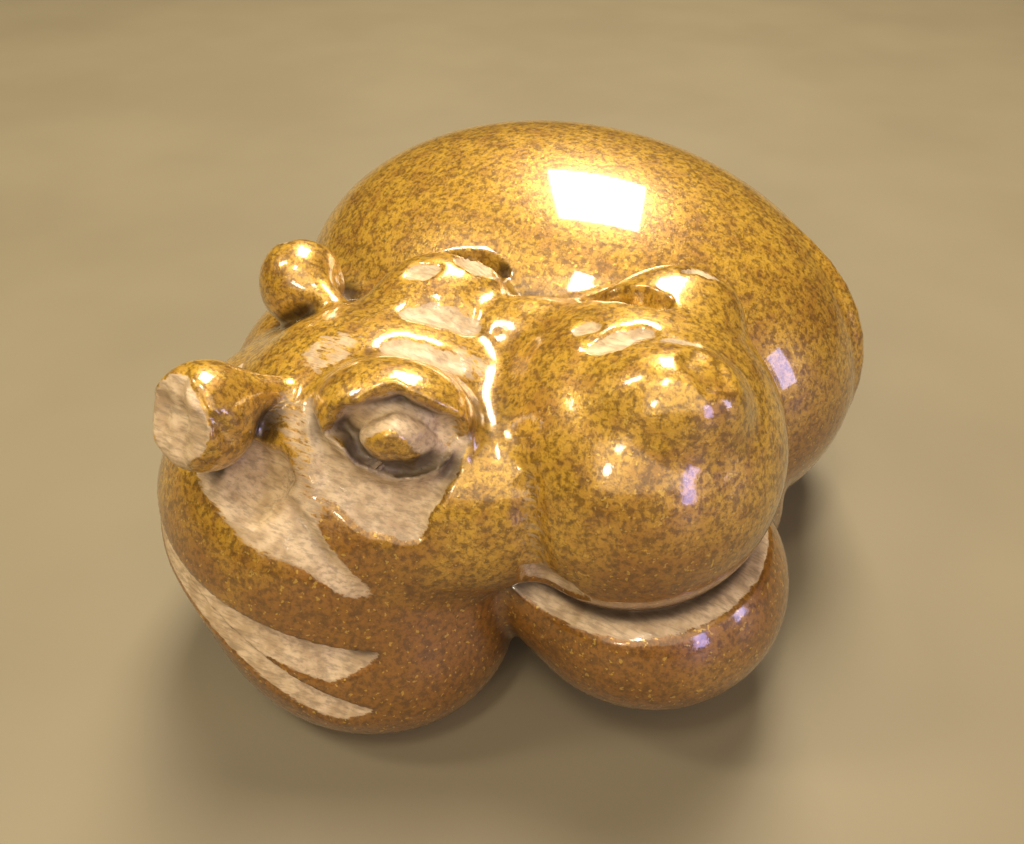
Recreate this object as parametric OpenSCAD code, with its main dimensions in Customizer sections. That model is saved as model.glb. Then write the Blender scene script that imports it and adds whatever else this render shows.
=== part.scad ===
// Lying hippopotamus carved from one pebble of polished stone.
// X runs along the trunk: the shoulders are at -X and the rump is at +X.
// The head is turned right round to the animal's left, so it lies along the
// -Y flank and looks towards +X. Z is up and the flat underside is Z = 0.
// The origin is the middle of the footprint, on the surface it lies on.
// Each mass of the carving is a closed solid that meets the next one face to
// face along a carved crease.

/* [Trunk] */
// Length of the trunk along X
trunk_l = 71; // [66:1:78]
// Width of the trunk along Y
trunk_w = 53; // [48:1:58]
// Height of the back above the surface
trunk_h = 44.5; // [41:0.5:48]
// How much of the trunk's egg shape is cut off flat underneath
trunk_cut = 3.5; // [2:0.5:6]

/* [Neck] */
// Width of the bulging neck along X
neck_w = 39.6; // [36:0.2:43]
// Length of the bulging neck along Y
neck_l = 40; // [36:1:43]
// Height of the bulging neck above the surface
neck_h = 34; // [31:1:36]
// Depth of the two carved folds of skin
fold_depth = 1.2; // [0.6:0.1:2]
// Width of each fold
fold_w = 1.6; // [1:0.2:2.4]

/* [Head] */
// Heading of the face, turned from +X towards +Y
head_yaw = 20; // [14:1:26]
// Height of the head's own centre above the surface
head_z = 26; // [25:0.5:28]
// Length of the skull
skull_l = 34; // [31:1:37]
// Width of the skull
skull_w = 30; // [27:1:33]
// Height of the skull
skull_h = 28; // [25:1:31]
// Length of the bulb of the muzzle
muzzle_l = 28; // [26:1:31]
// Width of the bulb of the muzzle
muzzle_w = 31; // [28:1:34]
// Height of the bulb of the muzzle
muzzle_h = 29; // [27:1:31]
// Length of the lower jaw
jaw_l = 29; // [26:1:32]
// Width of the lower jaw
jaw_w = 31; // [28:1:34]
// Height of the lower jaw
jaw_h = 22; // [20:1:24]

/* [Small features] */
// Diameter of an ear
ear_d = 9.2; // [8:0.2:10]
// Distance between the middles of the ears
ear_gap = 23; // [21:0.5:25]
// Distance between the middles of the brows
eye_gap = 19; // [17:0.5:21]
// Length of an eyeball
eye_l = 5.6; // [4.8:0.2:6.4]
// Distance between the middles of the nostril bumps
nostril_gap = 13; // [11:0.5:15]
// Thickness of the tail
tail_d = 4.4; // [3.6:0.2:5]

/* [Hidden] */

// Facets round the big masses and round the small ones
big_fn = 36;
small_fn = 24;

// Half sizes of the egg-shaped masses
trunk_r = [trunk_l, trunk_w, trunk_h + trunk_cut] / 2;
neck_r = [neck_w, neck_l, neck_h] / 2;
throat_r = [15.9, 14.2, 11.5];
skull_r = [skull_l, skull_w, skull_h] / 2;
muzzle_r = [muzzle_l, muzzle_w, muzzle_h] / 2;
jaw_r = [jaw_l, jaw_w, jaw_h] / 2;
ear_r = [ear_d * 0.46, ear_d / 2, ear_d / 2];
brow_r = [6.5, 4.5, 4.5];
cheek_r = [9.5, 6.8, 6.6];
eye_r = [eye_l / 2, 2, 2.4];
nostril_r = [5.5, 4.5, 4.5];

// The neck and the trunk set the ends of the footprint along Y
footprint_w = 80.7;
trunk_at = [0, footprint_w / 2 - trunk_r[1], trunk_h - trunk_r[2]];
neck_at = [-6.8, neck_r[1] - footprint_w / 2, neck_r[2]];
throat_at = neck_at + [4.8, -5.6, -9.5];

// The folds go round the neck's lower part and rise towards its back
fold_heights = [-2, -7.5];
fold_tilt = -16;

// The head's own frame: X is forwards along the face, Y is to its left
head_at = [2, -18.15, head_z];
skull_at = [-4, 0, -2];
muzzle_at = [19, 0, 1];
jaw_at = [20, -1, jaw_r[2] - head_z - 0.5];
ear_at = [-16.3, ear_gap / 2, 8.6];
brow_at = [-1, eye_gap / 2, 9.5];
cheek_at = [-2.5, 9.6, -3.4];
eye_at = [-0.5, eye_gap / 2 + 4, 8.2];
nostril_at = [21, nostril_gap / 2, 12];
right = -1;
left = 1;

// Each leg is folded under the trunk: first the middle and the half sizes of
// its haunch or shoulder, then those of the foot beside the belly
right_hind = [[18, 24.6, 12], [14, 11.5, 11.5], [11, 31.6, 4], [9, 5, 4]];
left_hind = [[22, 1.6, 12], [11, 9, 11], [21, -2.4, 4], [8, 4.5, 4]];
right_fore = [[-19, 23.6, 14], [10, 10, 12], [-26, 27.6, 4], [8, 5, 4]];
left_fore = [[-17, -6.4, 15.5], [14.5, 17, 15.5], [-27, -8.4, 4], [8, 6.5, 4]];

// The tail hangs from the top of the rump and lies against it
tail_path = [[23.5, 22.6, 35.5], [28, 20.1, 31.5], [31.6, 18.1, 26], [33.4, 16.6, 20]];

// Room for everything above the surface that the figure lies on
above = 100;

function head_side(at, side) = [at[0], side * at[1], at[2]];

// A mass of stone: an egg with half sizes r at a place
module mass(at, r, facets = small_fn) {
    hull() translate(at) scale(r) sphere(r = 1, $fn = facets);
}

// Only what stands above the surface is left of its children
module lying() {
    intersection() {
        children();
        translate([-above, -above, 0]) cube(2 * above);
    }
}

module in_head() {
    translate(head_at) rotate([0, 0, head_yaw]) children();
}

module trunk_mass() {
    mass(trunk_at, trunk_r, big_fn);
}

// A fold of skin is a groove that a thin tilted disc cuts into the neck
module fold(height, tilt) {
    difference() {
        translate(neck_at + [0, 0, height]) rotate([tilt, 0, -30])
            hull() cylinder(r = neck_l, h = fold_w, center = true, $fn = small_fn);
        mass(neck_at, neck_r - fold_depth * [1, 1, 1], big_fn);
        mass(throat_at, throat_r - fold_depth * [1, 1, 1]);
    }
}

// The throat hangs below the neck on its outer side
module neck_mass() {
    mass(neck_at, neck_r, big_fn);
    mass(throat_at, throat_r);
}

module skull_mass() {
    in_head() mass(skull_at, skull_r, big_fn);
    for (side = [right, left]) in_head() {
        mass(head_side(brow_at, side), brow_r);
        mass(head_side(cheek_at, side), cheek_r);
    }
}

module muzzle_mass() {
    in_head() mass(muzzle_at, muzzle_r, big_fn);
    for (side = [right, left]) in_head() mass(head_side(nostril_at, side), nostril_r);
}

module jaw_mass() {
    in_head() mass(jaw_at, jaw_r, big_fn);
}

module ear_mass(side) {
    in_head() mass(head_side(ear_at, side), ear_r);
}

module eye_mass(side) {
    in_head() mass(head_side(eye_at, side), eye_r);
}

module leg_mass(leg) {
    mass(leg[0], leg[1]);
    mass(leg[2], leg[3]);
}

module face_masses() {
    skull_mass();
    muzzle_mass();
    jaw_mass();
}

module leg_masses() {
    leg_mass(right_hind);
    leg_mass(left_hind);
    leg_mass(right_fore);
    leg_mass(left_fore);
}

// A leg shows where neither the neck nor the head covers it
module leg(leg) {
    lying() difference() {
        leg_mass(leg);
        neck_mass();
        face_masses();
    }
}

// An ear is a ball on the back of the skull, hollowed towards its outer side
module ear(side) {
    difference() {
        ear_mass(side);
        in_head() mass(head_side(ear_at + [-2.5, 3.2, 1], side), [3.2, 2.2, 4.4]);
        skull_mass();
        neck_mass();
        trunk_mass();
        muzzle_mass();
    }
}

module trunk() {
    color("darkgoldenrod") lying() difference() {
        trunk_mass();
        face_masses();
        neck_mass();
        leg_masses();
        tail_mass();
    }
}

module neck() {
    color("goldenrod") lying() difference() {
        neck_mass();
        face_masses();
        for (height = fold_heights) fold(height, fold_tilt);
    }
}

module skull() {
    color("peru") difference() {
        skull_mass();
        for (side = [right, left]) eye_mass(side);
        muzzle_mass();
        jaw_mass();
    }
}

module muzzle() {
    color("sienna") difference() {
        muzzle_mass();
        jaw_mass();
    }
}

module lower_jaw() {
    color("saddlebrown") lying() jaw_mass();
}

module right_ear() {
    color("burlywood") ear(right);
}

module left_ear() {
    color("burlywood") ear(left);
}

module right_eye() {
    color("gold") eye_mass(right);
}

module left_eye() {
    color("gold") eye_mass(left);
}

module right_foreleg() {
    color("chocolate") leg(right_fore);
}

module left_foreleg() {
    color("chocolate") leg(left_fore);
}

module right_hind_leg() {
    color("chocolate") leg(right_hind);
}

module left_hind_leg() {
    color("chocolate") leg(left_hind);
}

module tail_mass() {
    for (i = [0:len(tail_path) - 2]) hull() {
        translate(tail_path[i]) sphere(d = tail_d, $fn = small_fn);
        translate(tail_path[i + 1]) sphere(d = tail_d, $fn = small_fn);
    }
}

module tail() {
    color("tan") tail_mass();
}

trunk();
neck();
skull();
muzzle();
lower_jaw();
right_ear();
left_ear();
right_eye();
left_eye();
right_foreleg();
left_foreleg();
right_hind_leg();
left_hind_leg();
tail();
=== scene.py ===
# %% [markdown]
# # A crouching animal carved from one piece of polished brown stone
# The real thing is a palm-sized figurine: a hippopotamus curled up on a shelf, its back a smooth
# dome and its heavy head turned right round to lie along its own left flank. It is one stone.
# A carver roughs out big rounded masses, cuts the folds and the eyes with small wheels and points,
# and polishes everything that a felt can reach. The cuts stay dull.
# This lesson follows the same order: masses first, then cuts, then two finishes of one stone.

import bpy
import numpy as np
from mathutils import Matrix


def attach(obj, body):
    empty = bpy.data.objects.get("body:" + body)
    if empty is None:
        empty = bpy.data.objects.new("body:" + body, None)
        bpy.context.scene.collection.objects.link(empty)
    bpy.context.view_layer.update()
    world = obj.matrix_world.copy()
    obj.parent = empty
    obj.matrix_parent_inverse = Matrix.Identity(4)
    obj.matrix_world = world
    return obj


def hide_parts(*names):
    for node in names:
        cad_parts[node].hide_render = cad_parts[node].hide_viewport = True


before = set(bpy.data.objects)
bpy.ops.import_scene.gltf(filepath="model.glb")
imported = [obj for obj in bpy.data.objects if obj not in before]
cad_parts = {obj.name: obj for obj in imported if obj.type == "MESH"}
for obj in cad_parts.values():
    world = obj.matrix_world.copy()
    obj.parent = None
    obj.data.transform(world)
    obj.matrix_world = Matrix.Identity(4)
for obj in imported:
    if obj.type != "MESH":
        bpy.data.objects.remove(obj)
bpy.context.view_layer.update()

import openvdb
from mathutils import Vector

MM = 0.001

# %% [markdown]
# ## Shaping with distances
# Clay-like masses that melt into each other could be sculpted by hand, or made of metaballs.
# Here every mass is a formula that tells how far a point is from its skin: below zero is stone,
# above zero is air. Two formulas join with the smaller value, and a little rounding at the join
# gives the soft valley that a carver's felt leaves. Every size stays readable in millimetres.

# %% Small helpers for distances
def row(*numbers):
    """One point or direction as an array."""
    return np.array(numbers, np.float32)


def unit(vector):
    """The same direction, one long."""
    return vector / np.linalg.norm(vector)


def turned(yaw=0.0, pitch=0.0):
    """Axes turned about Z by yaw, after a turn about Y by pitch, in degrees."""
    y, p = np.radians([yaw, pitch])
    about_z = [[np.cos(y), -np.sin(y), 0], [np.sin(y), np.cos(y), 0], [0, 0, 1]]
    about_y = [[np.cos(p), 0, np.sin(p)], [0, 1, 0], [-np.sin(p), 0, np.cos(p)]]
    return (np.array(about_z) @ np.array(about_y)).astype(np.float32)


def ramp(value, start, end):
    """0 before start, 1 after end, with a soft S between them."""
    t = np.clip((value - start) / (end - start), 0, 1)
    return t * t * (3 - 2 * t)


def egg(points, at, half, turn=None):
    """Distance to an ellipsoid with its centre and its three half sizes."""
    local = points - row(*at)
    if turn is not None:
        local = local @ turn
    local = local / row(*half)
    near = np.sqrt((local * local).sum(-1)) + 1e-6
    local = local / row(*half)
    return near * (near - 1) / (np.sqrt((local * local).sum(-1)) + 1e-6)


def rod(points, start, end, thick_start, thick_end):
    """Distance to a round rod that tapers from one thickness to another."""
    along = row(*end) - row(*start)
    t = np.clip(((points - row(*start)) @ along) / (along @ along), 0, 1)
    middle = row(*start) + t[:, None] * along
    return np.linalg.norm(points - middle, axis=-1) - (thick_start + (thick_end - thick_start) * t)


def join(one, other, soft):
    """Both masses as one, with a valley rounded over soft millimetres."""
    t = np.clip(0.5 + 0.5 * (other - one) / soft, 0, 1)
    return other * (1 - t) + one * t - soft * t * (1 - t)


def both(one, other, soft):
    """Only what lies in both, with the edge rounded."""
    return -join(-one, -other, soft)


# %% [markdown]
# ## The big masses
# The trunk runs along X and the head hangs beside it, turned 20 degrees out from the X axis.
# The head has its own axes: x towards the nose, y towards its left ear, z up. An animal is nearly
# the same on both sides, so most of the head is written once, for y and for minus y together.

# %% The head's place and the two sets of coordinates
HEAD_AT = row(2, -16.75, 26)
HEAD_TURN = turned(yaw=20)


def head_view(points):
    """The points in the head's own axes, and the same with both sides folded onto one."""
    own = (points - HEAD_AT) @ HEAD_TURN
    folded = own.copy()
    folded[:, 1] = np.abs(folded[:, 1])
    return own, folded


# %% The bow of the tail
def bow(t):
    """A point of the tail and its thickness; t runs from 0 at the root to 1 at the tip."""
    ends = np.array([(23.0, 22.5, 35.6), (30.5, 20.8, 33.2), (34.9, 18.8, 26.0), (34.0, 17.9, 20.2)])
    share = np.array([(1 - t) ** 3, 3 * t * (1 - t) ** 2, 3 * t * t * (1 - t), t ** 3])
    return (*(share @ ends), 1.2 + 0.6 * np.sin(np.pi * t))


TAIL = [bow(t) for t in np.linspace(0, 1, 9)]
print("tail from", TAIL[0][:3], "to", TAIL[-1][:3])


# %% Body masses
def body_masses(p):
    """Trunk, neck, legs and tail, each a distance in mm."""
    neck = join(egg(p, (-6.8, -18.9, 17.0), (19.8, 20.0, 17.0)),
                egg(p, (-2.0, -24.5, 7.5), (15.9, 14.2, 11.5)), 5)
    tail = None
    for start, end in zip(TAIL, TAIL[1:]):
        link = rod(p, start[:3], end[:3], start[3], end[3])
        tail = link if tail is None else np.minimum(tail, link)
    return {
        "trunk": egg(p, (0, 15.25, 20.5), (35.5, 26.5, 24)),
        "neck": neck,
        # each leg is a thigh and a foot, joined softly
        "left_foreleg": join(egg(p, (-17, -5, 15.5), (14.5, 17, 16)),
                             egg(p, (-27, -7, 4), (8, 6.5, 4.5)), 2),
        "right_foreleg": join(egg(p, (-19, 25, 14), (10, 10, 12)),
                              egg(p, (-26, 29, 4), (8, 5, 4.2)), 2),
        "left_hind_leg": join(egg(p, (22, 3, 12), (11, 9, 11)),
                              egg(p, (21, -1, 4), (8, 4.5, 4.2)), 2),
        "right_hind_leg": join(egg(p, (18, 26, 12), (14.6, 12, 11.7)),
                               egg(p, (11, 33, 4), (9, 5, 4.2)), 2),
        "tail": tail,
    }


# %% Head masses
def head_masses(q, s):
    """Skull, muzzle, lower jaw and ears from the head's own axes q and the folded ones s."""
    skull = join(egg(q, (-4, 0, -2), (17, 15, 14)), egg(s, (5.5, 8.0, -1.5), (8, 6.5, 9)), 3)
    skull = join(skull, egg(s, (-2.5, 9.6, -3.4), (9.5, 6.8, 6.6)), 2.5)              # cheeks
    melt = 2.5 + 1.1 * ramp(q[:, 1], -2, 4)                # the left brow is softer
    skull = join(skull, egg(s, (-0.5, 9.3, 9.3), (6.7, 4.9, 4.7)), melt)              # brows
    skull = join(skull, egg(q, (8.6, 5.4, 9.0), (4.8, 3.6, 3.5)), 2.5)                # nose bridge
    muzzle = join(egg(q, (19.3, 0, 1), (14, 15.5, 14.5)),
                  egg(s, (22, 6.8, 11.6), (6.0, 4.4, 4.6)), 2.2)                      # nostril bumps
    jaw = join(egg(q, (22, -0.5, -14.5), (14.3, 15.2, 11.2)),
               egg(q, (11, 0, -12), (10, 10, 8)), 4)
    ear = egg(s, (-16.3, 11.5, 8.6), (4.3, 4.7, 4.8))
    ear = join(ear, rod(s, (-15.2, 10.0, 9.8), (-10.6, 6.6, 8.4), 2.4, 1.2), 1.2)
    return {"skull": skull, "muzzle": muzzle, "lower_jaw": jaw, "ear": ear}


# %% [markdown]
# ## The cuts
# A carver's cut is a depth taken off the skin. Each function below gives the mass that it works on,
# how deep it goes in mm, and how dull it leaves the stone, from 0 (polished) to 1 (raw from the
# wheel). The neck folds have a crisp upper lip and run out softly downwards, as a tilted wheel
# leaves them.

# %% Cuts in the neck and the mouth
def neck_folds(p, m):
    """Two skin folds that wrap the outer side of the neck."""
    on_neck = ramp(m["neck"] - np.minimum(m["skull"], m["muzzle"]), 1.0, 0.0)
    run_out = ramp(p[:, 0], 8.5, 3.0) * ramp(p[:, 1], -12, -26) * on_neck
    for height, slope, deep, wide in ((17.1, -0.26, 1.9, 4.5), (12.3, -0.44, 1.6, 3.6)):
        above = (p[:, 2] - (height + slope * (p[:, 0] + 1.4))) / np.sqrt(1 + slope * slope)
        slant = np.clip(1 + above / (wide * (0.25 + 0.75 * run_out)), 0, 1)
        profile = ramp(above, 0.25, -0.1) * slant
        yield "neck", deep * profile * run_out, ramp(profile * run_out, 0.06, 0.2)


def neck_groove(q, s, m):
    """The hollow that parts the head from the neck, and the pit where it meets the ear."""
    reach = 1.7 + 2.2 * ramp(q[:, 0], -6, -14)
    band = np.clip(1 - m["skull"] / reach, 0, 1) * ramp(q[:, 1], 2, -4) * ramp(q[:, 0], 1, -6)
    band = band * ramp(m["neck"] - m["skull"], 0.3, -0.3)
    yield "neck", 0.5 * band * band, ramp(band, 0.15, 0.4)
    pit = ramp(egg(s, (-12.4, 13.2, 3.0), (3.4, 4.2, 2.8)), 0.9, -2.0)
    yield "neck", 3.4 * pit, ramp(pit, 0.05, 0.3)


def mouth_line(q, m):
    """The dull band between the lips, cut into the lower one."""
    below = ramp(q[:, 2], -1, -4) * ramp(m["muzzle"], -1.2, 0.0)
    below = below * ramp(m["lower_jaw"] - m["muzzle"], 0.3, -0.1)
    lip = np.clip(1 - m["muzzle"] / 2.8, 0, 1) * below
    gap = np.clip(1 - m["muzzle"] / 0.5, 0, 1) * below
    yield "lower_jaw", 1.3 * lip + 0.5 * gap, ramp(lip, 0.08, 0.2) * ramp(q[:, 0], 7, 9)


# %% [markdown]
# The eye is the finest work: a pointed socket under an overhanging brow, with a ball left standing
# in it. Only the tip of the ball was touched by the felt again. Below it, a flat fan was ground off.

# %% Cuts round the eyes
EYE_AT = row(0.4, 12.6, 8.9)
EYE_TILT = np.radians(33)


def eye_plane(s):
    """Coordinates on the tilted plane of the eye: along it, up it and out of it."""
    side, up = s[:, 1] - EYE_AT[1], s[:, 2] - EYE_AT[2]
    return (s[:, 0] - EYE_AT[0], -side * np.sin(EYE_TILT) + up * np.cos(EYE_TILT),
            side * np.cos(EYE_TILT) + up * np.sin(EYE_TILT))


def eyeball(along, up):
    """1 at the tip of the ball, 0 at its rim and beyond."""
    return np.sqrt(np.clip(1 - (along / 3.6) ** 2 - ((up + 0.3) / 2.4) ** 2, 0, 1))


def eye_socket(s):
    """The socket, with the ball standing in it."""
    along, up, out = eye_plane(s)
    arch = (np.sqrt((along / 5.8) ** 2 + ((up + 0.6) / 4.9) ** 2) - 1) * 4
    vee = (-3.4 + 0.62 * np.abs(along)) - up
    inside = ramp(np.maximum(arch, vee), 0.3, -0.7) * ramp(out, -3.0, -1.5)
    lid = np.exp(-((vee - 0.5) / 0.6) ** 2) * ramp(arch, 0.6, -0.4) * ramp(out, -3.0, -1.5)
    ball = eyeball(along, up)
    dull = inside * ramp(ball + 0.027 * (0.6 - up), 0.95, 0.8)
    yield "skull", inside * (2.5 - 2.0 * ball), dull
    yield "skull", -0.5 * lid, 0.9 * lid


def fan_facet(s):
    """The flat fan ground off under the eye."""
    x, z = s[:, 0], s[:, 2]
    edges = np.maximum.reduce([z - (5.4 + 0.6 * np.abs(x - 0.7)), (0.2 + 0.42 * np.abs(x - 1.2)) - z,
                               -(x + 5.6 + (z - 1.4) * 0.33), x - (2.6 + 0.45 * z)])
    fan = ramp(edges, 0.4, -0.9) * ramp(s[:, 1], 8, 10)
    yield "skull", 0.55 * fan, ramp(fan, 0.15, 0.5)


# %% Small cuts on the brow, the cheek, the nose and the ears
SCOOPS = (
    # mass, centre, half sizes, yaw, pitch, depth, soft outside, soft inside, dullness, both sides?
    ("skull", (0.8, 2.9, 11.9), (3.9, 1.25, 2.4), 8, 0, 0.5, 0.9, 0.7, 1.0, True),
    ("skull", (2.6, 9.8, 13.6), (2.0, 1.5, 2.0), 0, 0, 0.5, 0.4, 0.6, 1.0, False),
    ("skull", (-2.3, 7.6, 13.4), (1.9, 1.2, 2.0), 0, 0, 0.5, 0.4, 0.6, 1.0, False),
    ("muzzle", (11.8, 14.5, 1.5), (1.0, 4.4, 5.6), 0, -8, 0.7, 1.4, 0.7, 0.36, True),
    ("muzzle", (13.2, -13.4, -5.0), (3.6, 2.6, 2.3), 0, 0, 0.9, 0.5, 0.2, 1.0, False),
    ("muzzle", (16.2, 4.6, 15.0), (5.6, 1.3, 2.8), -27, 0, 2.6, 0.5, 0.9, 0.25, False),
    ("muzzle", (24.2, 7.8, 15.6), (2.4, 1.0, 2.0), 20, 0, 0.6, 0.4, 0.6, 1.0, False),
    ("muzzle", (17.4, -3.2, 14.9), (2.9, 1.2, 2.2), 22, 0, 0.7, 0.6, 0.8, 1.0, False),
    ("muzzle", (14.2, -1.2, 14.8), (1.2, 1.0, 2.0), 0, 0, 0.4, 0.3, 0.6, 1.0, False),
    ("muzzle", (22.6, -3.4, 15.3), (1.8, 0.9, 1.6), 10, 0, 0.4, 0.4, 0.6, 1.0, False),
    ("muzzle", (24.4, -7.4, 15.4), (2.6, 1.5, 2.0), -20, 0, 0.5, 0.5, 0.7, 0.0, False),
)
SCUFFS = (
    # centre and size of each patch that the felt only half reached
    ((-7.4, -10.6, 7.4), (3.2, 3.0, 4.2)), ((-7.7, -3.8, 11.2), (3.0, 2.6, 3.0)),
    ((4.2, -1.9, 10.4), (2.4, 2.2, 3.0)), ((-11.5, -8.4, 7.6), (2.6, 2.4, 3.0)),
    ((-7.0, -13.4, 3.0), (2.6, 3.0, 4.0)), ((-9.0, -13.5, -1.0), (3.0, 3.0, 3.0)),
)


def small_scoops(q, s):
    """Short strokes of the wheel: frown, brow, cheek and nostrils, and the scuffed patches."""
    for mass, at, half, yaw, pitch, deep, soft_out, soft_in, raw, mirrored in SCOOPS:
        stroke = ramp(egg(s if mirrored else q, at, half, turned(yaw, pitch)), soft_out, -soft_in)
        yield mass, deep * stroke, raw * ramp(stroke, 0.2, 0.6)
    for at, half in SCUFFS:
        scuff = ramp(egg(q, at, half), 0.8, -1.2)
        yield "skull", 0 * scuff, 0.55 * scuff


EAR_AT = row(-16.3, 11.5, 8.6)
EAR_LONG = row(0.686, 0.373, -0.6225)


def ear_facet(s, m):
    """The flat facet ground on the outer side of each ear, with a fine groove along it."""
    long = unit(EAR_LONG)
    out = row(0.12, 0.74, 0.577)
    out = unit(out - long * (out @ long))
    down = np.cross(out, long)
    faces_to = unit(0.82 * out + 0.52 * down - 0.22 * long)
    own = s - EAR_AT
    above_facet = own @ faces_to.astype(np.float32) - 2.6 - m["ear"]
    flat = np.clip(above_facet, 0, 2.2)
    yield "ear", flat, ramp(flat, 0.0, 0.12)
    line = np.exp(-((own @ down.astype(np.float32) + 1.5) / 0.5) ** 2)
    line = line * ramp(own @ out.astype(np.float32), 1.5, 3.0)
    yield "ear", 0.5 * line, 0 * line


# %% [markdown]
# ## The whole animal
# All masses are joined, body first and then the head with a tighter valley, because the carver
# undercut it. Each cut only counts where its own mass is the skin, so that a stroke on the brow
# can't scratch the back behind it. The resting face is ground flat at z = 0.

# %% One function for the whole stone
def stone(points):
    """Distance to the finished skin, how dull it is, and how much it was worked by hand."""
    q, s = head_view(points)
    m = body_masses(points) | head_masses(q, s)
    body = join(join(m["trunk"], m["right_foreleg"], 2.0), m["right_hind_leg"], 2.5)
    body = join(join(body, m["left_hind_leg"], 1.5), m["left_foreleg"], 2.5)
    body = join(join(body, m["neck"], 2.0), m["tail"], 1.0)
    head = join(join(m["skull"], m["muzzle"], 3.0), m["lower_jaw"], 0.5)
    skin = join(join(head, m["ear"], 0.9), body, 1.2)

    # a hand never cuts quite straight: the cuts sway by 0.3 mm over 5 mm and 0.14 mm over 2 mm
    sway = 0.3 * np.sin(1.25 * q[:, (1, 2, 0)] + row(0.4, 2.0, 4.1))
    sway = sway + 0.14 * np.sin(2.9 * q[:, (2, 0, 1)])
    q, s = q + sway, s + sway
    depth, dull = np.zeros_like(skin), np.zeros_like(skin)
    for cuts in (neck_folds(points, m), neck_groove(q, s, m), mouth_line(q, m), fan_facet(s),
                 eye_socket(s), small_scoops(q, s), ear_facet(s, m)):
        for mass, deep, raw in cuts:      # a depth below zero leaves a ridge standing in a cut
            here = ramp(m[mass] - skin, 1.6, 0.6)
            depth = np.where(deep < 0, depth + deep * here, np.maximum(depth, deep * here))
            dull = np.maximum(dull, raw * here)
    return both(skin + depth, -points[:, 2], 0.6), dull, ramp(m["trunk"] - skin, 0.5, 4.0)


# %% [markdown]
# ## From formula to mesh
# The skin is read off a grid, as a scanner would read a real carving. A fine grid over the whole
# block would be slow, so a coarse look comes first, and only tiles near the skin are filled finely.
# OpenVDB, which comes with Blender, then lays four-sided faces along the zero level.

# %% Read the stone on a grid
SHIFT = row(0, -1.4, 0)   # from the carver's layout to the middle of the footprint, in mm
CELL = 0.34        # mm between fine samples: three of them across the narrowest cut
TILE = 4           # fine samples along one side of a tile
LOW = row(-38.5, -43.5, -1.6)
TILES = np.array([57, 65, 36])
NEAR = 3.6         # mm: half a tile's diagonal and the deepest cut
CHUNK = 150_000


def in_chunks(function, points):
    """Run a function over many points without filling the memory."""
    return [function(points[i:i + CHUNK]) for i in range(0, len(points), CHUNK)]


def skin_distance(points):
    """Only the distance to the skin."""
    return np.concatenate(in_chunks(lambda p: stone(p)[0], points))


tile_index = np.stack(np.meshgrid(*[np.arange(n) for n in TILES], indexing="ij"), -1).reshape(-1, 3)
tile_middle = (LOW + (tile_index * TILE + (TILE - 1) / 2) * CELL).astype(np.float32)
coarse = skin_distance(tile_middle)
close = np.abs(coarse) < NEAR

step = np.stack(np.meshgrid(*[np.arange(TILE)] * 3, indexing="ij"), -1).reshape(-1, 3)
fine_points = (LOW + (tile_index[close][:, None, :] * TILE + step) * CELL).astype(np.float32)
fine = skin_distance(fine_points.reshape(-1, 3))

block = np.empty((TILES[0], TILE, TILES[1], TILE, TILES[2], TILE), np.float32)
by_tile = block.transpose(0, 2, 4, 1, 3, 5)
by_tile[...] = coarse.reshape(*TILES, 1, 1, 1)
by_tile[close.reshape(TILES)] = fine.reshape(-1, TILE, TILE, TILE)
volume = np.clip(block.reshape(*(TILES * TILE)), -NEAR, NEAR)
print("tiles filled finely:", int(close.sum()), "of", len(close))

# %% Lay faces on the zero level and pull their corners onto the skin
grid = openvdb.FloatGrid(NEAR)
grid.copyFromArray(volume)
corners, faces = grid.convertToQuads(isovalue=0.0)
corners = (LOW + corners * CELL).astype(np.float32)
faces = faces.astype(np.int64)
PROBE = 0.09       # mm to each side when the slope of the skin is measured
PULLS = 2          # times that the corners are pulled onto the skin


def slope_of(points):
    """How the distance changes along x, y and z."""
    slopes = []
    for axis in np.eye(3, dtype=np.float32):
        ahead, behind = (skin_distance(points + side * PROBE * axis) for side in (1, -1))
        slopes.append((ahead - behind) / (2 * PROBE))
    return np.stack(slopes, 1)


for _ in range(PULLS):
    slope = slope_of(corners)
    off = skin_distance(corners)
    pull = off[:, None] * slope / np.maximum((slope * slope).sum(1, keepdims=True), 0.25)
    length = np.linalg.norm(pull, axis=1, keepdims=True) + 1e-9
    corners = (corners - pull * np.minimum(1, 0.5 * CELL / length)).astype(np.float32)
slope = slope_of(corners)
normals = slope / (np.linalg.norm(slope, axis=1, keepdims=True) + 1e-9)
print("faces:", len(faces), "corners:", len(corners))

# %% Measure how dull, hand-worked and hollow the skin is at each corner
finish = np.hstack([np.stack(stone(p)[1:])
                    for p in np.array_split(corners, 1 + len(corners) // CHUNK)])
LOOK_OUT = 1.6     # mm: open skin is this far away from a point this far outside
# how shut in the skin is here; the colour later darkens these places as painted shade
open_room = skin_distance((corners + LOOK_OUT * normals).astype(np.float32))
finish = np.vstack([finish, np.clip(1.1 - open_room / LOOK_OUT, 0, 1)])


def smoothed(values, rounds):
    """Values on the corners, evened out over about one cell for each round."""
    uses = np.bincount(faces.ravel(), minlength=len(corners)).clip(1)
    for _ in range(rounds):
        on_face = np.repeat(values[faces].mean(1), 4)
        values = np.bincount(faces.ravel(), on_face, len(corners)) / uses
    return values


finish[0], finish[2] = smoothed(finish[0], 1), smoothed(finish[2], 6)
normals = np.stack([smoothed(normals[:, axis], 1) for axis in range(3)], 1)
normals /= np.linalg.norm(normals, axis=1, keepdims=True) + 1e-9
print("share of the skin that is dull:", round(float((finish[0] > 0.5).mean()), 3))

# %% [markdown]
# ## Which face belongs to which part
# The stone has no real joints, so the parts meet along its carved creases. A face belongs to the
# mass whose own skin is nearest. Stray single faces along a crease are handed to their neighbours,
# so that each part is one clean patch. An eye is the patch of its ball.

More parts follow.
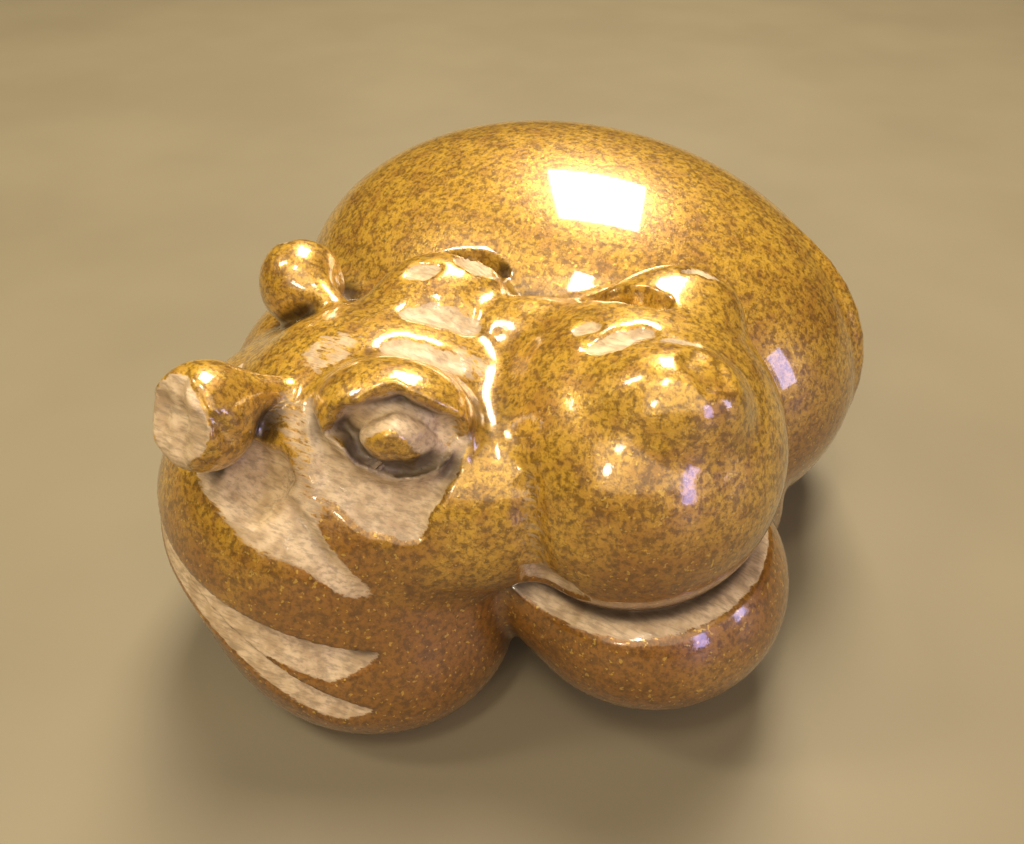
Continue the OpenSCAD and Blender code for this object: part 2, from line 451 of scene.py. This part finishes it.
# %% Give every face to a part
def part_of(points):
    """The name of the part that owns each point of the skin."""
    q, s = head_view(points)
    m = body_masses(points) | head_masses(q, s)
    left = q[:, 1] > 0
    names = np.array(list(m))[np.argmin(np.stack(list(m.values())), axis=0)].astype("<U16")
    along, up, out = eye_plane(s)
    in_eye = (names == "skull") & (eyeball(along, up) > 0) & (out > -2.5) & (up > -3.2)
    for pair in ("ear", "eye"):
        chosen = in_eye if pair == "eye" else names == "ear"
        names[chosen & left], names[chosen & ~left] = "left_" + pair, "right_" + pair
    return names


NODES = sorted(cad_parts)
face_middle = corners[faces].mean(1)
owner = np.searchsorted(NODES, np.concatenate(in_chunks(part_of, face_middle)))

edge_ends = np.sort(np.stack([faces, np.roll(faces, -1, 1)], -1).reshape(-1, 2), axis=1)
edge_key = edge_ends[:, 0] * len(corners) + edge_ends[:, 1]
order = np.argsort(edge_key, kind="stable")
same = edge_key[order][:-1] == edge_key[order][1:]
one, two = order[:-1][same] // 4, order[1:][same] // 4


def votes():
    """For each face, how many of its neighbours belong to each part."""
    count = np.zeros((len(faces), len(NODES)), np.float32)
    np.add.at(count, (one, owner[two]), 1)
    np.add.at(count, (two, owner[one]), 1)
    return count


OWN_VOTE = 1.5     # a face's own part counts a little more than one neighbour
for _ in range(4):
    count = votes()
    count[np.arange(len(faces)), owner] += OWN_VOTE
    owner = count.argmax(1)

# %% Hand small islands to their surroundings
SMALL = 60         # faces


def islands():
    """A number for each face that all faces of its island share."""
    group = np.arange(len(faces))
    inside = owner[one] == owner[two]
    a, b = one[inside], two[inside]
    while True:
        lowest = np.minimum(group[a], group[b])
        new = group.copy()
        np.minimum.at(new, a, lowest)
        np.minimum.at(new, b, lowest)
        new = new[new]
        if (new == group).all():
            return group
        group = new


for _ in range(6):
    group = islands()
    small = np.bincount(group, minlength=len(faces))[group] < SMALL
    if not small.any():
        break
    for _ in range(SMALL):
        count = votes()
        count[np.arange(len(faces)), owner] = 0
        change = small & (count.sum(1) > 0)
        if not change.any():
            break
        owner[change] = count[change].argmax(1)
        small &= ~change
group = islands()
for number, name in enumerate(NODES):
    mine = owner == number
    print(f"{name}: {int(mine.sum())} faces in {len(np.unique(group[mine]))} patch")

# %% [markdown]
# ## Closing the parts
# Each patch is only a skin. It becomes a solid when every edge of its rim gets a triangle down to
# the heart of its own mass, like a wedge cut out of a fruit. Neighbours share the same rim, so no
# gap or double skin shows. The shading follows the formula's own slope, so the rim is invisible.

# %% Turn each patch into a closed piece
HEARTS = {
    "trunk": (0, 15.25, 20.5), "neck": (-5.0, -20.0, 13.5), "tail": (30.0, 19.6, 28.0),
    "left_foreleg": (-17, -5, 13), "right_foreleg": (-19, 25, 12),
    "left_hind_leg": (22, 3, 10), "right_hind_leg": (18, 26, 11),
}
HEAD_HEARTS = {
    "skull": (-3, 0, -1), "muzzle": (19.3, 0, 1), "lower_jaw": (20, -0.5, -13.5),
    "left_ear": (-16.3, 11.5, 8.6), "right_ear": (-16.3, -11.5, 8.6),
    "left_eye": (0.4, 9.5, 6.6), "right_eye": (0.4, -9.5, 6.6),
}
for name, at in HEAD_HEARTS.items():
    HEARTS[name] = HEAD_TURN @ row(*at) + HEAD_AT


def closed_piece(name, stone_finish):
    """The patch of one part as a closed Blender object that stands for its CAD node."""
    mine = faces[owner == NODES.index(name)]
    used, flat = np.unique(mine, return_inverse=True)
    skin = flat.reshape(-1, 4)
    start, end = skin.reshape(-1), np.roll(skin, -1, 1).reshape(-1)
    forth, back = start * len(used) + end, end * len(used) + start
    rim = ~np.isin(back, forth)
    heart = len(used)
    wedge = np.stack([end[rim], start[rim], np.full(rim.sum(), heart)], 1)
    points = np.vstack([corners[used], row(*HEARTS[name])])

    mesh = bpy.data.meshes.new(name + "_carved")
    mesh.from_pydata(((points + SHIFT) * MM).tolist(), [], skin.tolist() + wedge.tolist())
    first, second, third = (points[wedge[:, corner]] for corner in range(3))
    side = np.cross(second - first, third - first)
    side = side / (np.linalg.norm(side, axis=1, keepdims=True) + 1e-12)
    shading = np.vstack([normals[used][skin.reshape(-1)], np.repeat(side, 3, axis=0)])
    mesh.normals_split_custom_set(shading.tolist())
    for label, numbers in zip(("dull", "hand_work", "hollow"), finish):
        stored = mesh.attributes.new(label, "FLOAT", "POINT")
        stored.data.foreach_set("value", np.append(numbers[used], 0).astype(np.float32))

    piece = bpy.data.objects.new(name + "_carved", mesh)
    bpy.context.scene.collection.objects.link(piece)
    mesh.materials.append(stone_finish)
    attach(piece, "root")
    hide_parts(name)
    return piece


# %% [markdown]
# ## The stone
# Bronzite, or a brown jasper much like it: golden brown, mottled, full of dark grains under a
# millimetre across, with tiny cleavage faces that flash like bronze. Ground and felted, it takes a
# glassy polish. Where the wheel cut and no felt reached, it is pale, dry and scratched.
# One node network holds both finishes, and the "dull" number stored on the mesh chooses.

# %% Helpers for colours and nodes
def paint(code):
    """An sRGB hex colour as the linear values that Blender works with."""
    values = [int(code[i:i + 2], 16) / 255 for i in (1, 3, 5)]
    return tuple(v / 12.92 if v <= 0.04045 else ((v + 0.055) / 1.055) ** 2.4 for v in values) + (1.0,)


def add(tree, kind, inputs=(), **settings):
    """A node with its settings; each input gets a value, or a link from another node's output."""
    node = tree.nodes.new("ShaderNode" + kind)
    for key, value in settings.items():
        setattr(node, key, value)
    for socket, value in dict(inputs).items():
        if isinstance(value, bpy.types.NodeSocket):
            tree.links.new(value, node.inputs[socket])
        else:
            node.inputs[socket].default_value = value
    return node


def per_metre(size_mm):
    """The texture scale that gives features of that size."""
    return 1 / (size_mm * MM)


def span(value, low, high, to_low=0.0, to_high=1.0):
    """The inputs of a Map Range node that stretches a value from one range to another."""
    return {"Value": value, "From Min": low, "From Max": high, "To Min": to_low, "To Max": to_high}


def cloud(size_mm, detail=3, rough=0.55, warp=0.0):
    """The inputs of a Noise node with features of one size."""
    return {"Vector": place, "Scale": per_metre(size_mm), "Detail": detail, "Roughness": rough,
            "Distortion": warp}


SOFT = {"interpolation_type": "SMOOTHSTEP"}       # a stretch with soft ends

# %% The stone's own place and the numbers stored on the mesh
stone_finish = bpy.data.materials.new("polished_bronzite")
stone_finish.use_nodes = True
tree = stone_finish.node_tree
tree.nodes.clear()
place = add(tree, "TexCoord").outputs["Object"]
dull_here = add(tree, "Attribute", attribute_name="dull").outputs["Fac"]
hand_work = add(tree, "Attribute", attribute_name="hand_work").outputs["Fac"]
hollow = add(tree, "Attribute", attribute_name="hollow").outputs["Fac"]

# %% Golden above, redder brown below: partly the stone's own tone, partly painted shade
height_above_floor = add(tree, "SeparateXYZ", {"Vector": place}).outputs["Z"]
# the low parts are darker and redder: partly the stone's tone, partly painted shade where less light
# falls
lower_tone_and_shade = add(tree, "MapRange", span(height_above_floor, 38 * MM, 12 * MM), **SOFT).outputs["Result"]
veins = add(tree, "TexNoise", cloud(16)).outputs["Fac"]
veins = add(tree, "MapRange", span(veins, 0.3, 0.7, -0.4, 0.4), **SOFT).outputs["Result"]
veins_and_lower_shade = add(tree, "Math", {0: lower_tone_and_shade, 1: veins}, operation="ADD").outputs[0]
veins_and_lower_shade = add(tree, "MapRange", span(veins_and_lower_shade, 0, 1), **SOFT).outputs["Result"]
colour = add(tree, "Mix", {0: veins_and_lower_shade, 6: paint("#cda036"), 7: paint("#8f5f1b")},
             data_type="RGBA").outputs[2]

# %% Blotches, grains and specks, from coarse to fine
MOTTLE = (
    # size in mm, detail, roughness, warp, where it starts and ends in the noise, strength, colour
    (2.2, 4, 0.60, 0.0, 0.42, 0.68, 0.60, "#93611f"),     # soft brown patches, 2 to 4 mm
    (0.62, 6, 0.66, 0.2, 0.42, 0.62, 0.70, "#54350f"),    # dark grains, 0.3 to 0.8 mm
    (0.3, 3, 0.60, 0.0, 0.50, 0.70, 0.45, "#42290c"),     # the finest grain that still shows
)
for size, detail, rough, warp, start, end, strength, code in MOTTLE:
    specks = add(tree, "TexNoise", cloud(size, detail, rough, warp)).outputs["Fac"]
    amount = add(tree, "MapRange", span(specks, start, end, 0, strength), **SOFT).outputs["Result"]
    colour = add(tree, "Mix", {0: amount, 6: colour, 7: paint(code)}, data_type="RGBA").outputs[2]

# bronze-like cleavage faces, 0.5 mm
flash = add(tree, "TexNoise", cloud(0.5, 2, 0.5)).outputs["Fac"]
flash = add(tree, "MapRange", span(flash, 0.63, 0.7), **SOFT).outputs["Result"]
amount = add(tree, "MapRange", span(flash, 0, 1, 0, 0.5), **SOFT).outputs["Result"]
colour = add(tree, "Mix", {0: amount, 6: colour, 7: paint("#f0c95f")}, data_type="RGBA").outputs[2]
print("layers in the polished stone:", len(MOTTLE) + 2)

# %% [markdown]
# The raw cuts were ground with a small wheel, so their scratches run in one direction and lie about
# 0.15 mm apart. They are drawn 0.35 mm apart, because finer ones would not show. Creases and
# hollows are darkened with painted shade: the less open room outside the skin, the darker.

# %% The raw cuts
grind = add(tree, "Mapping", {"Vector": place, "Rotation": (0.3, 0.5, 0.9), "Scale": (1, 6, 6)})
scratches = add(tree, "TexNoise", cloud(2.1, 4, 0.65) | {"Vector": grind.outputs["Vector"]})
scratches = scratches.outputs["Fac"]
dust = add(tree, "TexNoise", cloud(1.6, 4)).outputs["Fac"]
dust = add(tree, "MapRange", span(dust, 0.35, 0.65), **SOFT).outputs["Result"]
raw = add(tree, "Mix", {0: dust, 6: paint("#cfb690"), 7: paint("#b0956f")},
          data_type="RGBA").outputs[2]
amount = add(tree, "MapRange", span(scratches, 0.42, 0.66, 0, 0.6), **SOFT).outputs["Result"]
raw = add(tree, "Mix", {0: amount, 6: raw, 7: paint("#7d6a50")}, data_type="RGBA").outputs[2]

ragged = add(tree, "MapRange", span(scratches, 0.3, 0.7, -0.2, 0.2), **SOFT).outputs["Result"]
dull_edge = add(tree, "Math", {0: dull_here, 1: ragged}, operation="ADD").outputs[0]
dull_edge = add(tree, "MapRange", span(dull_edge, 0.34, 0.6), **SOFT).outputs["Result"]
colour = add(tree, "Mix", {0: dull_edge, 6: colour, 7: raw}, data_type="RGBA").outputs[2]
# painted shade: creases and recesses with little open room outside are darkened to dark brown
crease_shade = add(tree, "MapRange", span(hollow, 0.2, 0.8, 0, 0.8), **SOFT).outputs["Result"]
colour = add(tree, "Mix", {0: crease_shade, 6: colour, 7: paint("#2c1a0b")}, data_type="RGBA").outputs[2]

# %% [markdown]
# Polished pyroxene rock has an index near 1.65 and takes a shine like glass, so a clear coat lies
# over a satin ground that is a third metallic, for the bronze sheen. The raw cuts have neither.

# %% Shine and relief
felt_marks = add(tree, "TexNoise", cloud(1.1, 5, 0.6)).outputs["Fac"]
felt_marks = add(tree, "MapRange", span(felt_marks, 0.3, 0.75, 0.3, 0.46), **SOFT).outputs["Result"]
roughness = add(tree, "Mix", {0: dull_edge, 2: felt_marks, 3: 0.62}).outputs[0]
sheen = add(tree, "Math", {0: flash, 1: 0.35, 2: 0.3}, operation="MULTIPLY_ADD").outputs[0]
polished = add(tree, "Math", {0: 1.0, 1: dull_edge}, operation="SUBTRACT").outputs[0]
metallic = add(tree, "Math", {0: sheen, 1: polished}, operation="MULTIPLY").outputs[0]
coat = add(tree, "MapRange", {"Value": dull_edge, "To Min": 0.9, "To Max": 0.08}).outputs["Result"]

height = add(tree, "Mix", {0: dull_edge, 2: specks, 3: scratches}).outputs[0]
bump = add(tree, "Bump", {"Height": height, "Strength": 0.3, "Distance": 0.1 * MM})
waves = add(tree, "TexNoise", cloud(0.9, 4, 0.65)).outputs["Fac"]
waves = add(tree, "Math", {0: waves, 1: hand_work}, operation="MULTIPLY").outputs[0]
coat_bump = add(tree, "Bump", {"Height": waves, "Strength": 0.35, "Distance": 0.05 * MM})

shader = add(tree, "BsdfPrincipled", {
    "Base Color": colour, "Roughness": roughness, "Metallic": metallic, "Coat Weight": coat,
    "Normal": bump.outputs["Normal"], "Coat Normal": coat_bump.outputs["Normal"],
    "IOR": 1.65, "Coat Roughness": 0.06, "Coat IOR": 1.6})
add(tree, "OutputMaterial", {"Surface": shader.outputs["BSDF"]})
print("nodes in the stone:", len(tree.nodes))

# %% Make every piece
for name in NODES:
    piece = closed_piece(name, stone_finish)
    print(f"{piece.name}: {len(piece.data.polygons)} faces")

# %% [markdown]
# ## Floor, light and camera
# A plain pale floor, one large square panel overhead and a little behind, which draws the bright
# square on the back, and soft fill from the front. A cool panel low on the right gives the lilac
# glints in the polish.

# %% The floor
floor_mesh = bpy.data.meshes.new("shelf")
FLOOR = 3.0        # m from the middle to each side
ends = [(-FLOOR, -FLOOR, 0), (FLOOR, -FLOOR, 0), (FLOOR, FLOOR, 0), (-FLOOR, FLOOR, 0)]
floor_mesh.from_pydata(ends, [], [(0, 1, 2, 3)])
floor = bpy.data.objects.new("shelf", floor_mesh)
bpy.context.scene.collection.objects.link(floor)
painted_board = bpy.data.materials.new("painted_board")
painted_board.use_nodes = True
tree = painted_board.node_tree
tree.nodes.clear()
place = add(tree, "TexCoord").outputs["Object"]
brushed = add(tree, "TexNoise", cloud(60)).outputs["Fac"]
brushed = add(tree, "MapRange", span(brushed, 0.3, 0.7), **SOFT).outputs["Result"]
board = add(tree, "Mix", {0: brushed, 6: paint("#7a7058"), 7: paint("#746a53")},
            data_type="RGBA").outputs[2]
orange_peel = add(tree, "TexNoise", cloud(1.5)).outputs["Fac"]
relief = add(tree, "Bump", {"Height": orange_peel, "Strength": 0.15, "Distance": 0.1 * MM})
shader = add(tree, "BsdfPrincipled", {"Base Color": board, "Normal": relief.outputs["Normal"],
                                      "Roughness": 0.6})
add(tree, "OutputMaterial", {"Surface": shader.outputs["BSDF"]})
floor_mesh.materials.append(painted_board)

# %% Lights
MIDDLE = Vector((4, -6, 22)) * MM


def panel(name, direction, distance, width, tall, watts, colour):
    """A soft rectangular light that looks at the stone."""
    light = bpy.data.lights.new(name, "AREA")
    light.shape, light.size, light.size_y = "RECTANGLE", width, tall
    light.energy, light.color = watts, paint(colour)[:3]
    lamp = bpy.data.objects.new(name, light)
    way = Vector(direction).normalized()
    lamp.location = MIDDLE + way * distance
    lamp.rotation_euler = way.to_track_quat("Z", "Y").to_euler()
    lamp.visible_camera = False
    bpy.context.scene.collection.objects.link(lamp)
    return lamp


WARM, WARM_WHITE = "#fff1d8", "#fff4e0"
PANELS = (
    # name, direction from the stone, distance and size in m, watts, colour
    ("ceiling_panel", (-0.16, 0.42, 0.89), 0.60, 0.225, 0.31, 5.9, WARM),
    ("second_panel", (0.02, -0.38, 0.92), 0.60, 0.06, 0.14, 1.0, WARM_WHITE),
    ("left_panel", (-0.55, -0.33, 0.77), 0.60, 0.07, 0.16, 1.2, WARM_WHITE),
    ("front_panel", (0.05, -0.88, 0.47), 0.70, 0.05, 0.09, 0.6, WARM),
    ("front_fill", (0.36, -0.60, 0.71), 0.80, 1.10, 0.90, 5.6, "#ffe9c4"),
    ("cool_panel", (0.92, -0.42, 0.24), 0.50, 0.08, 0.18, 0.45, "#b9b4ff"),
    ("cool_high_panel", (0.95, 0.14, 0.24), 0.50, 0.08, 0.16, 0.4, "#c9c6ff"),
)
for values in PANELS:
    print("light:", panel(*values).name)

world = bpy.data.worlds.new("soft_room")
bpy.context.scene.world = world
world.use_nodes = True
sky = world.node_tree.nodes["Background"].inputs
sky["Color"].default_value, sky["Strength"].default_value = paint("#b8ad98"), 0.08

# %% The camera
CAMERA_AZIMUTH, CAMERA_HEIGHT, CAMERA_DISTANCE = np.radians(30), np.radians(38), 97.5 * MM
AIM = Vector((4, -6.15, 20)) * MM
camera_data = bpy.data.cameras.new("camera")
camera_data.sensor_width = 36
camera_data.angle = np.radians(60)
camera_data.clip_start = 0.001
camera = bpy.data.objects.new("camera", camera_data)
away = Vector((np.sin(CAMERA_AZIMUTH) * np.cos(CAMERA_HEIGHT),
               -np.cos(CAMERA_AZIMUTH) * np.cos(CAMERA_HEIGHT), np.sin(CAMERA_HEIGHT)))
camera.location = AIM + away * CAMERA_DISTANCE
camera.rotation_euler = away.to_track_quat("Z", "Y").to_euler()
bpy.context.scene.collection.objects.link(camera)
bpy.context.scene.camera = camera
bpy.context.scene.view_settings.view_transform = "Standard"
